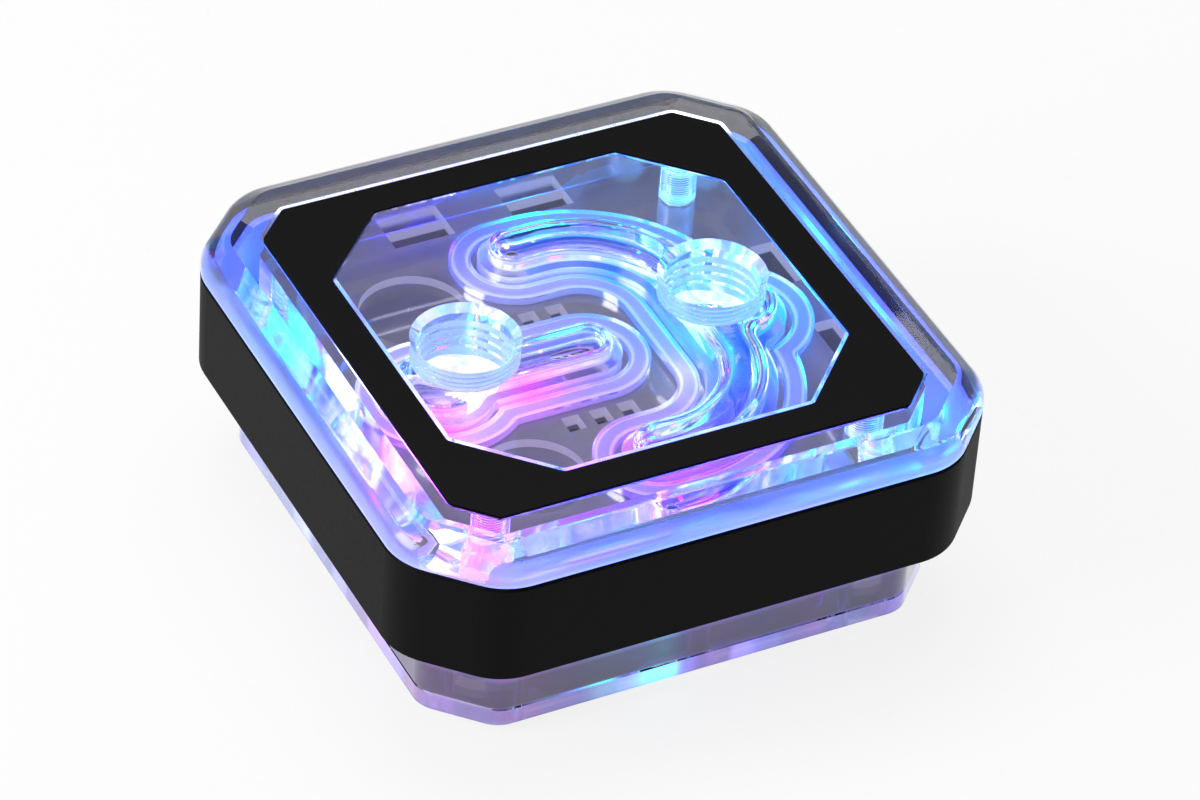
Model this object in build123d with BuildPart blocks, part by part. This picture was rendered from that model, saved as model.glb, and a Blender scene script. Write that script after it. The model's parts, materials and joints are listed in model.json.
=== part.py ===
"""Processor water block: a clear cover with milled water channels over a finned cold plate.

Millimetres, +Z up. The origin is the middle of the cold plate's contact face, +X runs from the inlet
port to the outlet port, and the front is -Y.
"""

import os

from build123d import *

# Water channels in the underside of the cover; the outlet channel reaches both ends of the fins
outlet_reach = 19.6
outlet_turn_radius = 13.3
outlet_lead = 3.0
leg_offset = 0.35
channel_half_width = 3.0
channel_depth = 8.6
channel_ceiling_radius = 2.4
channel_shelf_width = 1.2
channel_shelf_depth = 3.0
pool_offset = 3.0
pool_radius = 5.4
pool_corner_radius = 2.6
pool_margin = 1.85

# Moulded gaskets around the channels
gasket_inner_offset = 2.0
gasket_groove_width = 2.6
gasket_groove_depth = 2.0
gasket_side_clearance = 0.1
gasket_corner_radius = 0.8
gasket_groove_spacing = 0.6
parting_gap = 0.1

# Ports, threaded G1/4: bore at the crest of the thread, and the mouth that leads into it
port_bore_radius = 5.72
port_thread_depth = 6.8
port_mouth_radius = 6.62
port_throat_radius = 4.6

# Cover: its body, the flange over the ring and the bevel around the top
cover_depth = 17.0
cover_flange = 4.67
cover_body_margin = 3.8
cover_bevel_width = 3.5
cover_bevel_drop = 2.0
cover_shoulder_radius = 2.8
cover_edge_break = 0.3

# Black frame let into the top of the cover
frame_inset = 0.5
frame_width = 4.5
frame_corner_cut = 4.4
frame_corner_radius = 1.0
window_corner_cut = 10.0
window_corner_radius = 1.0
frame_thickness = 1.2
frame_clearance = 0.05
recess_edge_break = 0.35

# Black ring and the gap for lights inside it
light_gap = 4.5
ring_wall = 2.5
ring_corner_cut = 9.2
ring_corner_radius = 8.0
ring_lip_width = 2.0
ring_lip_height = 1.2
ring_edge_break = 0.3

# Clear base and the retaining plate below it
retainer_gap = 1.4
retainer_thickness = 2.4
retainer_seam = 0.1
base_roof = 1.7
base_ledge = 1.24
base_side_clearance = 0.25
base_corner_cut = 6.9
base_corner_radius = 4.0

# Passages and relief pockets of the base
inlet_passage_radius = 2.8
outlet_passage_radius = 2.1
passage_wall = 0.1
plenum_length = 29.0
plenum_width = 5.0
plenum_depth = 1.6
chamber_corner_radius = 5.0
light_pocket_length = 8.0
light_pocket_width = 3.0
light_pocket_offset = 8.0
light_pocket_depth = 5.0
relief_cell_length = 2.6
relief_cell_width = 2.2
relief_cell_pitch = 3.6
relief_cell_count = 3
relief_cell_x = -2.8
relief_cell_margin = 0.8
relief_cell_depth = 2.2
round_relief_radius = 6.6
round_relief_gap = 0.3
round_relief_margin = 2.2
round_relief_depth = 1.2

# Cold plate, its seal and the jet plate over its fins
contact_step = 4.0
contact_corner_radius = 3.0
contact_edge_break = 0.4
flange_margin = 1.3
flange_corner_cut = 10.6
flange_thickness = 3.0
flange_clearance = 0.2
fin_height = 3.4
fin_thickness = 0.5
fin_pitch = 1.0
fin_count = 31
fin_side_gap = 1.75
jet_plate_thickness = 0.5
jet_plate_clearance = 0.5
jet_plate_setback = 0.2
jet_plate_overhang = 0.3
jet_slot_width = 1.2
jet_slot_length = 27.0
seal_wall = 1.1
seal_width = 1.8
seal_height = 1.3
seal_corner_cut = 9.0
seal_corner_radius = 3.0
seal_edge_break = 0.4
seal_clearance = 0.05

# Fasteners
corner_screw_inset = 6.8
corner_screw_radius = 2.0
corner_screw_length = 12.0
corner_head_radius = 3.5
corner_head_height = 3.0
corner_hex_width = 3.0
corner_hex_depth = 1.8
corner_roof = 2.7
corner_drill_radius = 1.65
corner_drill_length = 2.0
corner_hole_clearance = 0.25
corner_head_clearance = 0.2
corner_thread_clearance = 0.05
corner_seat_depth = 4.4
retainer_screw_radius = 1.5
retainer_screw_length = 6.4
retainer_head_radius = 2.7
retainer_head_drop = 1.2
retainer_screw_inset = 3.0
retainer_hex_width = 2.0
retainer_hex_depth = 1.0
retainer_hole_clearance = 0.15
retainer_thread_clearance = 0.05
retainer_tap_margin = 1.0

# Light strip in the gap between the ring and the body of the cover
board_thickness = 0.8
board_height = 9.0
board_clearance = 0.1
board_break = 7.0
led_size = 5.0
led_depth = 1.6
led_lens_radius = 1.9
led_lens_depth = 0.3
header_width = 6.0
header_height = 4.4
header_depth = 2.2
header_wall = 0.6
header_pocket_depth = 1.5
header_pin_count = 3
header_pin_pitch = 1.5
header_pin_radius = 0.25
header_pin_length = 1.2
header_offset = 18.0
lead_notch_width = 6.0

# Heights that follow, up from the contact face of the cold plate
retainer_top = retainer_gap + retainer_thickness
base_under = retainer_top + retainer_seam
flange_top = retainer_top + flange_thickness
fin_top = flange_top + fin_height
chamber_top = fin_top + jet_plate_thickness
plenum_top = chamber_top + plenum_depth
parting = plenum_top + base_roof
height = parting + cover_depth
cover_under = parting + parting_gap
channel_top = cover_under + channel_depth
recess_floor = height - frame_thickness
flange_under = height - cover_flange
ring_bottom = parting - base_ledge
ring_height = flange_under - ring_bottom
lip_top = parting + ring_lip_height
board_middle = lip_top + board_height / 2
corner_seat = base_under + corner_seat_depth
corner_drill_depth = recess_floor - corner_roof - cover_under
corner_tap_depth = corner_drill_depth - corner_drill_length
header_bottom = board_middle - header_height / 2
mouth_depth = port_mouth_radius - port_bore_radius
bore_floor_depth = port_bore_radius - port_throat_radius
throat_depth = height - channel_top + channel_ceiling_radius

# Places in plan that follow, out from the middle of the block
gasket_reach = channel_half_width + gasket_inner_offset + gasket_groove_width
cover_body_half = outlet_reach + gasket_reach + cover_body_margin
pool_x = cover_body_half - pool_margin - pool_radius - gasket_inner_offset - gasket_groove_width
port_x = pool_x - pool_offset
outlet_leg = port_x - leg_offset
outlet_end_x = outlet_leg - outlet_turn_radius - outlet_lead
inlet_end_x = outlet_leg - 2 * gasket_reach - gasket_groove_spacing
ring_half = cover_body_half + light_gap + ring_wall
base_half = ring_half - ring_wall - ring_lip_width - base_side_clearance
frame_half = cover_body_half - frame_inset
window_half = frame_half - frame_width
board_inset = ring_wall + board_clearance
board_face_half = ring_half - board_inset - board_thickness
light_pocket_half = cover_body_half - light_pocket_width / 2
chamber_half_length = outlet_reach + outlet_passage_radius + passage_wall
fin_span = (fin_count - 1) * fin_pitch + fin_thickness
chamber_width = fin_span + 2 * fin_side_gap
jet_plate_width = chamber_width - 2 * jet_plate_clearance
jet_plate_length = 2 * (outlet_reach - outlet_passage_radius - jet_plate_setback)
fin_length = jet_plate_length - 2 * jet_plate_overhang
seal_half = chamber_half_length + seal_wall + seal_width / 2
flange_half = seal_half + seal_width / 2 + flange_margin
contact_half = flange_half - contact_step
corner_screw_spacing = 2 * (cover_body_half - corner_screw_inset)
retainer_screw_half = base_half - retainer_screw_inset
relief_cell_y = gasket_reach + relief_cell_margin + relief_cell_length / 2
round_relief_x = outlet_end_x - gasket_reach - round_relief_gap - round_relief_radius
round_relief_y = gasket_reach + round_relief_margin + round_relief_radius
lead_notch_reach = 2 * (ring_wall + ring_lip_width)

# Shared directions and places
offset_cut_share = 2 - 2**0.5
upward = (Align.CENTER, Align.CENTER, Align.MIN)
downward = (Align.CENTER, Align.CENTER, Align.MAX)
side_turns = (0, 90, 180, 270)
side_planes = [Plane.XY.rotated((0, 0, turn)) for turn in side_turns]
emitter_face = Plane((0, board_face_half - led_depth, board_middle), z_dir=(0, 1, 0))
retainer_spots = [
    (retainer_screw_half, 0, retainer_gap),
    (0, retainer_screw_half, retainer_gap),
    (-retainer_screw_half, 0, retainer_gap),
    (0, -retainer_screw_half, retainer_gap),
]


def cut_square(half, corner_cut, corner_radius=0.0):
    """Square outline with its corners cut off at 45 degrees, and rounded where a radius is given."""
    with BuildSketch() as outline:
        Rectangle(2 * half, 2 * half)
        chamfer(outline.vertices(), corner_cut)
        if corner_radius > 0:
            fillet(outline.vertices(), corner_radius)
    return outline.sketch


def inside_ring(inset):
    """The ring's outline moved inwards by an even inset."""
    return cut_square(
        ring_half - inset, ring_corner_cut - inset * offset_cut_share, ring_corner_radius - inset
    )


def rounded_inside(outline, radius):
    """The same outline with its inward corners rounded."""
    with BuildSketch() as sketch:
        add(outline)
        offset(amount=radius)
        offset(amount=-radius)
    return sketch.sketch


def inlet_outline():
    """Straight channel from the pool under the inlet port to the middle of the block."""
    with BuildSketch() as outline:
        with Locations(((inlet_end_x - pool_x) / 2, 0)):
            SlotCenterToCenter(inlet_end_x + pool_x, 2 * channel_half_width)
        with Locations((-pool_x, 0)):
            Circle(pool_radius)
    return rounded_inside(outline.sketch, pool_corner_radius)


def outlet_outline():
    """C-shaped channel from both ends of the fins to the pool under the outlet port."""
    turn_x = outlet_leg - outlet_turn_radius
    turn_y = outlet_reach - outlet_turn_radius
    with BuildLine() as route:
        lead = Line((turn_x - outlet_lead, outlet_reach), (turn_x, outlet_reach))
        bend = TangentArc(lead @ 1, (outlet_leg, turn_y), tangent=lead % 1)
        leg = Line(bend @ 1, (outlet_leg, -turn_y))
        back = TangentArc(leg @ 1, (turn_x, -outlet_reach), tangent=leg % 1)
        Line(back @ 1, (turn_x - outlet_lead, -outlet_reach))
    with BuildSketch() as outline:
        SlotArc(route.wire(), 2 * channel_half_width)
        with Locations((pool_x, 0)):
            Circle(pool_radius)
    return rounded_inside(outline.sketch, pool_corner_radius)


def grown(outline, amount):
    """An outline moved outwards by an even amount."""
    with BuildSketch() as sketch:
        add(outline)
        offset(amount=amount)
    return sketch.sketch


def channel_void(outline):
    """Water space of one channel: a deep, round-topped run with a shallow shelf along both sides."""
    shelf = grown(outline, channel_shelf_width)
    with BuildPart() as void:
        with BuildSketch(Plane.XY.offset(cover_under)):
            add(outline)
        extrude(amount=channel_depth)
        fillet(void.faces().sort_by(Axis.Z)[-1].edges(), channel_ceiling_radius)
        with BuildSketch(Plane.XY.offset(cover_under)):
            add(shelf)
        extrude(amount=channel_shelf_depth)
    return void.part


def gasket_band(outline, clearance):
    """Ring-shaped sketch of the gasket's groove around a channel, less a clearance on both sides."""
    edge = grown(outline, gasket_inner_offset + gasket_groove_width - clearance)
    outside = rounded_inside(edge, gasket_corner_radius + clearance)
    inside = grown(outline, gasket_inner_offset + clearance)
    with BuildSketch() as band:
        add(outside)
        add(inside, mode=Mode.SUBTRACT)
    return band.sketch


def seal_band(clearance):
    """Ring-shaped sketch of the cold plate's seal groove, less a clearance on both sides."""
    middle = cut_square(seal_half, seal_corner_cut, seal_corner_radius)
    outside = grown(middle, seal_width / 2 - clearance)
    inside = grown(middle, clearance - seal_width / 2)
    with BuildSketch() as band:
        add(outside)
        add(inside, mode=Mode.SUBTRACT)
    return band.sketch


ring_outline = inside_ring(0)
ring_inner = inside_ring(ring_wall)
lip_inner = inside_ring(ring_wall + ring_lip_width)
ledge_outline = inside_ring(board_inset)
board_outer = inside_ring(board_inset)
board_inner = inside_ring(board_inset + board_thickness)
cover_body_outline = inside_ring(ring_half - cover_body_half)
base_outline = cut_square(base_half, base_corner_cut, base_corner_radius)
frame_outline = cut_square(frame_half, frame_corner_cut, frame_corner_radius)
window_outline = cut_square(window_half, window_corner_cut, window_corner_radius)
recess_outline = grown(frame_outline, frame_clearance)
island_outline = grown(window_outline, -frame_clearance)
channel_outlines = (inlet_outline(), outlet_outline())
water_spaces = [channel_void(outline) for outline in channel_outlines]
gasket_grooves = [gasket_band(outline, 0) for outline in channel_outlines]
gasket_bands = [gasket_band(outline, gasket_side_clearance) for outline in channel_outlines]
flange_outline = cut_square(flange_half, flange_corner_cut)
pocket_outline = grown(flange_outline, flange_clearance)
seal_groove = seal_band(0)
seal_outline = seal_band(seal_clearance)

# Clear cover: flange over the ring, body with the channels, ports and the frame's recess
with BuildPart() as cover:
    with BuildSketch(Plane.XY.offset(flange_under)):
        add(ring_outline)
    extrude(amount=cover_flange)
    rim = cover.faces().sort_by(Axis.Z)[-1].edges()
    chamfer(rim, cover_bevel_width, cover_bevel_drop, reference=cover.faces().sort_by(Axis.Z)[-1])
    shoulder = cover.edges().filter_by(Plane.XY).group_by(Axis.Z)[-2]
    fillet(shoulder, cover_shoulder_radius)
    chamfer(cover.faces().sort_by(Axis.Z)[0].edges(), cover_edge_break)
    with BuildSketch(Plane.XY.offset(cover_under)):
        add(cover_body_outline)
    extrude(amount=flange_under - cover_under)
    with BuildSketch(Plane.XY.offset(recess_floor)):
        add(recess_outline)
        add(island_outline, mode=Mode.SUBTRACT)
    extrude(amount=frame_thickness, mode=Mode.SUBTRACT)
    top_edges = cover.faces().filter_by(Plane.XY).group_by(Axis.Z)[-1].edges()
    recess_edges = top_edges.filter_by(
        lambda e: max(abs(e.center().X), abs(e.center().Y)) < frame_half + 2 * frame_clearance
    )
    chamfer(recess_edges, recess_edge_break)
    add(water_spaces, mode=Mode.SUBTRACT)
    with BuildSketch(Plane.XY.offset(cover_under)):
        add(gasket_grooves)
    extrude(amount=gasket_groove_depth, mode=Mode.SUBTRACT)
    for x in (-port_x, port_x):
        with Locations((x, 0, height)):
            Cone(port_bore_radius, port_mouth_radius, mouth_depth, align=downward, mode=Mode.SUBTRACT)
            Cylinder(port_bore_radius, port_thread_depth, align=downward, mode=Mode.SUBTRACT)
            Cylinder(port_throat_radius, throat_depth, align=downward, mode=Mode.SUBTRACT)
        with Locations((x, 0, height - port_thread_depth)):
            Cone(port_throat_radius, port_bore_radius, bore_floor_depth, align=downward, mode=Mode.SUBTRACT)
    with Locations(Plane.XY.offset(cover_under)):
        with GridLocations(corner_screw_spacing, corner_screw_spacing, 2, 2):
            Cylinder(corner_screw_radius, corner_tap_depth, align=upward, mode=Mode.SUBTRACT)
            Cylinder(corner_drill_radius, corner_drill_depth, align=upward, mode=Mode.SUBTRACT)
cover.part.label = "cover"

# Black frame, flush with the top of the cover
with BuildPart() as frame_plate:
    with BuildSketch(Plane.XY.offset(recess_floor)):
        add(frame_outline)
        add(window_outline, mode=Mode.SUBTRACT)
    extrude(amount=frame_thickness)
frame_plate.part.label = "frame_plate"

# Black ring between the cover's flange and the base, with a lip that the base clamps
with BuildPart() as side_ring:
    with BuildSketch(Plane.XY.offset(ring_bottom)):
        add(ring_outline)
    extrude(amount=ring_height)
    outer_edges = side_ring.faces().filter_by(Plane.XY).edges()
    chamfer(outer_edges, ring_edge_break)
    with BuildSketch(Plane.XY.offset(ring_bottom)):
        add(ring_inner)
    extrude(amount=ring_height, mode=Mode.SUBTRACT)
    with BuildSketch(Plane.XY.offset(parting)):
        add(ring_inner)
        add(lip_inner, mode=Mode.SUBTRACT)
        with Locations((header_offset, ring_half)):
            Rectangle(lead_notch_width, lead_notch_reach, mode=Mode.SUBTRACT)
    extrude(amount=ring_lip_height)
side_ring.part.label = "side_ring"

# Soft gaskets around the two channels
with BuildPart() as inlet_gasket:
    with BuildSketch(Plane.XY.offset(parting)):
        add(gasket_bands[0])
    extrude(amount=gasket_groove_depth + parting_gap)
inlet_gasket.part.label = "inlet_gasket"

with BuildPart() as outlet_gasket:
    with BuildSketch(Plane.XY.offset(parting)):
        add(gasket_bands[1])
    extrude(amount=gasket_groove_depth + parting_gap)
outlet_gasket.part.label = "outlet_gasket"

# Clear base: passages to and from the fins, the cold plate's pocket and relief pockets
with BuildPart() as base_plate:
    with BuildSketch(Plane.XY.offset(base_under)):
        add(base_outline)
    extrude(amount=parting - base_under)
    with BuildSketch(Plane.XY.offset(ring_bottom)):
        add(ledge_outline)
        with Locations((header_offset, ring_half)):
            Rectangle(lead_notch_width, lead_notch_reach, mode=Mode.SUBTRACT)
    extrude(amount=parting - ring_bottom)
    with BuildSketch(Plane.XY.offset(base_under)):
        add(pocket_outline)
    extrude(amount=flange_top - base_under, mode=Mode.SUBTRACT)
    with BuildSketch(Plane.XY.offset(flange_top)):
        add(seal_groove)
    extrude(amount=seal_height, mode=Mode.SUBTRACT)
    with BuildSketch(Plane.XY.offset(flange_top)):
        RectangleRounded(chamber_width, 2 * chamber_half_length, chamber_corner_radius)
    extrude(amount=chamber_top - flange_top, mode=Mode.SUBTRACT)
    with BuildSketch(Plane.XY.offset(chamber_top)):
        SlotOverall(plenum_length, plenum_width)
    extrude(amount=plenum_depth, mode=Mode.SUBTRACT)
    with BuildSketch(Plane.XY.offset(plenum_top)):
        with Locations((inlet_end_x, 0)):
            Circle(inlet_passage_radius)
    extrude(amount=parting - plenum_top, mode=Mode.SUBTRACT)
    with BuildSketch(Plane.XY.offset(chamber_top)):
        with Locations((outlet_end_x, outlet_reach), (outlet_end_x, -outlet_reach)):
            Circle(outlet_passage_radius)
    extrude(amount=parting - chamber_top, mode=Mode.SUBTRACT)
    for side in side_planes:
        with BuildSketch(side.offset(parting - light_pocket_depth)):
            with Locations((0, light_pocket_half)):
                with GridLocations(2 * light_pocket_offset, 0, 2, 1):
                    Rectangle(light_pocket_length, light_pocket_width)
        extrude(amount=light_pocket_depth, mode=Mode.SUBTRACT)
    with BuildSketch(Plane.XY.offset(parting - relief_cell_depth)):
        with Locations((relief_cell_x, 0)):
            with GridLocations(relief_cell_pitch, 2 * relief_cell_y, relief_cell_count, 2):
                Rectangle(relief_cell_width, relief_cell_length)
    extrude(amount=relief_cell_depth, mode=Mode.SUBTRACT)
    with BuildSketch(Plane.XY.offset(parting - round_relief_depth)):
        with Locations((round_relief_x, round_relief_y), (round_relief_x, -round_relief_y)):
            Circle(round_relief_radius)
    extrude(amount=round_relief_depth, mode=Mode.SUBTRACT)
    with Locations(Plane.XY.offset(base_under)):
        with GridLocations(corner_screw_spacing, corner_screw_spacing, 2, 2):
            Cylinder(
                corner_head_radius + corner_head_clearance,
                corner_seat_depth,
                align=upward,
                mode=Mode.SUBTRACT,
            )
            Cylinder(
                corner_screw_radius + corner_hole_clearance,
                parting - base_under,
                align=upward,
                mode=Mode.SUBTRACT,
            )
    with Locations(*retainer_spots):
        Cylinder(
            retainer_screw_radius + retainer_thread_clearance,
            retainer_screw_length + retainer_tap_margin,
            align=upward,
            mode=Mode.SUBTRACT,
        )
base_plate.part.label = "base_plate"

# Clear retaining plate that holds the cold plate's flange up against the base
with BuildPart() as retainer_plate:
    with BuildSketch(Plane.XY.offset(retainer_gap)):
        add(base_outline)
        RectangleRounded(
            2 * (contact_half + flange_clearance),
            2 * (contact_half + flange_clearance),
            contact_corner_radius + flange_clearance,
            mode=Mode.SUBTRACT,
        )
        with GridLocations(corner_screw_spacing, corner_screw_spacing, 2, 2):
            Circle(corner_head_radius + corner_head_clearance, mode=Mode.SUBTRACT)
        with Locations(*retainer_spots):
            Circle(retainer_screw_radius + retainer_hole_clearance, mode=Mode.SUBTRACT)
    extrude(amount=retainer_thickness)
    with Locations(*retainer_spots):
        Cone(
            retainer_head_radius + retainer_hole_clearance,
            retainer_screw_radius + retainer_hole_clearance,
            retainer_head_drop,
            align=upward,
            mode=Mode.SUBTRACT,
        )
retainer_plate.part.label = "retainer_plate"

# Plated copper cold plate: contact pad, clamped flange and a block of fine fins
with BuildPart() as cold_plate:
    with BuildSketch():
        RectangleRounded(2 * contact_half, 2 * contact_half, contact_corner_radius)
    extrude(amount=retainer_top)
    chamfer(cold_plate.faces().sort_by(Axis.Z)[0].edges(), contact_edge_break)
    with BuildSketch(Plane.XY.offset(retainer_top)):
        add(flange_outline)
    extrude(amount=flange_thickness)
    with BuildSketch(Plane.XY.offset(flange_top)):
        with GridLocations(fin_pitch, 0, fin_count, 1):
            Rectangle(fin_thickness, fin_length)
    extrude(amount=fin_height)
cold_plate.part.label = "cold_plate"

# Seal between the flange of the cold plate and the base
with BuildPart() as cold_plate_seal:
    with BuildSketch(Plane.XY.offset(flange_top)):
        add(seal_outline)
    extrude(amount=seal_height)
    chamfer(cold_plate_seal.edges().filter_by(Plane.XY), seal_edge_break)
cold_plate_seal.part.label = "cold_plate_seal"

# Thin jet plate that feeds the middle of the fins through one slot
with BuildPart() as jet_plate:
    with BuildSketch(Plane.XY.offset(fin_top)):
        Rectangle(jet_plate_width, jet_plate_length)
        SlotOverall(jet_slot_length, jet_slot_width, mode=Mode.SUBTRACT)
    extrude(amount=jet_plate_thickness)
jet_plate.part.label = "jet_plate"

# Four socket-head screws that pull the base up to the cover
with BuildPart() as cover_screws:
    with BuildSketch(Plane.XY.offset(corner_seat - corner_head_height)):
        with GridLocations(corner_screw_spacing, corner_screw_spacing, 2, 2):
            Circle(corner_head_radius)
    extrude(amount=corner_head_height)
    with BuildSketch(Plane.XY.offset(corner_seat)):
        with GridLocations(corner_screw_spacing, corner_screw_spacing, 2, 2):
            Circle(corner_screw_radius - corner_thread_clearance)
    extrude(amount=corner_screw_length)
    with BuildSketch(Plane.XY.offset(corner_seat - corner_head_height)):
        with GridLocations(corner_screw_spacing, corner_screw_spacing, 2, 2):
            RegularPolygon(corner_hex_width / 2, 6, major_radius=False)
    extrude(amount=corner_hex_depth, mode=Mode.SUBTRACT)
cover_screws.part.label = "cover_screws"

# Countersunk screws of the retaining plate, one in the middle of each side
with BuildPart() as retainer_screws:
    with Locations(*retainer_spots):
        Cone(retainer_head_radius, retainer_screw_radius, retainer_head_drop, align=upward)
        Cylinder(retainer_screw_radius, retainer_screw_length, align=upward)
    with BuildSketch(Plane.XY.offset(retainer_gap)):
        with Locations(*retainer_spots):
            RegularPolygon(retainer_hex_width / 2, 6, major_radius=False)
    extrude(amount=retainer_hex_depth, mode=Mode.SUBTRACT)
retainer_screws.part.label = "retainer_screws"

# Flexible light strip, standing on the ring's lip with a break at one corner
with BuildPart() as light_strip:
    with BuildSketch(Plane.XY.offset(lip_top)):
        add(board_outer)
        add(board_inner, mode=Mode.SUBTRACT)
        with Locations((board_face_half, board_face_half)):
            Rectangle(2 * board_break, board_break, rotation=-45, mode=Mode.SUBTRACT)
    extrude(amount=board_height)
light_strip.part.label = "light_strip"

# Light emitters, two on each side of the strip
with BuildPart() as light_emitters:
    for side in side_planes:
        with BuildSketch(side.offset(board_middle - led_size / 2)):
            with Locations((0, board_face_half - led_depth / 2)):
                with GridLocations(2 * light_pocket_offset, 0, 2, 1):
                    Rectangle(led_size, led_depth)
        extrude(amount=led_size)
    for turn in side_turns:
        with BuildSketch(Rot(0, 0, turn) * emitter_face):
            with GridLocations(2 * light_pocket_offset, 0, 2, 1):
                Circle(led_lens_radius)
        extrude(amount=led_lens_depth, mode=Mode.SUBTRACT)
light_emitters.part.label = "light_emitters"

# Pin header of the light strip, open downwards over the notch for its lead
with BuildPart() as light_header:
    with BuildSketch(Plane.XY.offset(header_bottom)):
        with Locations((header_offset, board_face_half - header_depth / 2)):
            Rectangle(header_width, header_depth)
    extrude(amount=header_height)
    with BuildSketch(Plane.XY.offset(header_bottom)):
        with Locations((header_offset, board_face_half - header_depth / 2)):
            Rectangle(header_width - 2 * header_wall, header_depth - 2 * header_wall)
    extrude(amount=header_pocket_depth, mode=Mode.SUBTRACT)
    with BuildSketch(Plane.XY.offset(header_bottom + header_pocket_depth - header_pin_length)):
        with Locations((header_offset, board_face_half - header_depth / 2)):
            with GridLocations(header_pin_pitch, 0, header_pin_count, 1):
                Rectangle(2 * header_pin_radius, 2 * header_pin_radius)
    extrude(amount=header_pin_length)
light_header.part.label = "light_header"

os.makedirs("parts", exist_ok=True)
for piece in (
    cover,
    frame_plate,
    side_ring,
    inlet_gasket,
    outlet_gasket,
    base_plate,
    retainer_plate,
    cold_plate,
    cold_plate_seal,
    jet_plate,
    cover_screws,
    retainer_screws,
    light_strip,
    light_emitters,
    light_header,
):
    export_step(piece.part, f"parts/{piece.part.label}.step")
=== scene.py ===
"""Looks of the processor water block: clear acrylic with the light from inside painted on as glow, black ring
and frame, white studio.
"""

import json
import math

import bmesh
import bpy
from mathutils import Euler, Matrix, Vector


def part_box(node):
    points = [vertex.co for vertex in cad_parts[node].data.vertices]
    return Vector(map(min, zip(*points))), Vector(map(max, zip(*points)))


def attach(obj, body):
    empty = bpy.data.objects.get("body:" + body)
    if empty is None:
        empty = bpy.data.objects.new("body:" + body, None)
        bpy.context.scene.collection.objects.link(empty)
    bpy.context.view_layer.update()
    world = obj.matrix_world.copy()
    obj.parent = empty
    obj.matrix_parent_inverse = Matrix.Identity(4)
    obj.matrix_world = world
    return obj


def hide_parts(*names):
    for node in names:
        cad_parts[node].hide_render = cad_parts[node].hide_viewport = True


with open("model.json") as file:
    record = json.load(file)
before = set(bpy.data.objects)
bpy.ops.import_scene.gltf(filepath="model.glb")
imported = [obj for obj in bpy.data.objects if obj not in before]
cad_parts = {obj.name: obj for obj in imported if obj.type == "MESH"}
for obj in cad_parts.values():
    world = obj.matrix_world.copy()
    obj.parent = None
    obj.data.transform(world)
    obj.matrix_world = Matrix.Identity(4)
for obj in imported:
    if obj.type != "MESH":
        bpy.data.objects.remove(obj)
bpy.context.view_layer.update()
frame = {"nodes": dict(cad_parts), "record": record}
nodes = frame["nodes"]
MM = 0.001

# Camera, solved from the photograph's edges: lens and picture width in mm, place in metres, turn in degrees
CAMERA_LENS = 173.54
CAMERA_WIDTH = 36.0
CAMERA_PLACE = (-0.25548, -0.46713, 0.45153)
CAMERA_TURN = (50.690, -3.232, -26.238)

# Surroundings: the white backdrop fades into a dim ceiling between two sines of the elevation
BACKDROP_FADE = (0.05, 0.2)
CEILING_COLOUR = (0.2, 0.19, 0.21)
FLOOR_SIZE = 3.0
FLOOR_COLOUR = (0.9, 0.9, 0.9)
FLOOR_WHITENESS = 0.85

# Soft boxes that face the block's middle: name, place and width in metres, and power in watts
BLOCK_MIDDLE = (0, 0, 0.02)
SOFT_BOXES = (
    ("key_left", (-0.7, 0.1, 0.35), 0.5, 5.0),
    ("top_soft", (0.1, 0.3, 0.8), 0.6, 4.0),
)

# Light paths long enough for clear pieces inside each other
CLEAR_BOUNCES = 24
GLOSSY_BOUNCES = 12

# Threads: the ports are G1/4, the corner posts M4; the phase keeps a cutter's ends off the bores' own facets
PORTS = [mount["pos_m"][:2] for mount in frame["record"]["mounts"] if mount["kind"] == "threaded_hole"]
PORT_THREAD = {
    "low": 24.3 * MM,
    "high": 29.5 * MM,
    "crest": 5.72 * MM,
    "root": 6.5 * MM,
    "pitch": 1.337 * MM,
    "segments": 72,
}
POST_HALF = 24.2 * MM
POSTS = [(x, y) for x in (-POST_HALF, POST_HALF) for y in (-POST_HALF, POST_HALF)]
POST_THREAD = {
    "low": 14.5 * MM,
    "high": 24.4 * MM,
    "crest": 2.0 * MM,
    "root": 2.28 * MM,
    "pitch": 0.7 * MM,
    "segments": 24,
}
THREAD_PHASE = 0.23

# Form of a thread: half its width at the root and at the crest in shares of its pitch, and how far past the
# crest the cutter reaches in shares of its depth
THREAD_ROOT_HALF = 0.08
THREAD_CREST_HALF = 0.34
THREAD_OVERLAP = 0.3

# Lights on the four sides: how far out, their offset along the side and their height, and the same for the
# painted pools of light in the corners of the gap between them and at the foot of the base; the glow around
# all of them is painted on the surfaces as emission
EMITTER_OUT = 33.0 * MM
EMITTER_OFFSET = 8.0 * MM
EMITTER_HEIGHT = 19.7 * MM
CORNER_OUT = 29.0 * MM
FOOT_OFFSET = 5.2 * MM
FOOT_HEIGHT = 2.6 * MM

# Reach of the painted glow around them
EMITTER_REACH = 9.0 * MM
CORNER_REACH = 8.0 * MM
FOOT_REACH = 1.8 * MM

# Place and reach on the -Y side of its two emitters, the corner after it and the foot
SIDE_SPOTS = (
    ((-EMITTER_OFFSET, -EMITTER_OUT, EMITTER_HEIGHT), EMITTER_REACH),
    ((EMITTER_OFFSET, -EMITTER_OUT, EMITTER_HEIGHT), EMITTER_REACH),
    ((CORNER_OUT, -CORNER_OUT, EMITTER_HEIGHT), CORNER_REACH),
    ((-FOOT_OFFSET, -EMITTER_OUT, FOOT_HEIGHT), FOOT_REACH),
)

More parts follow.
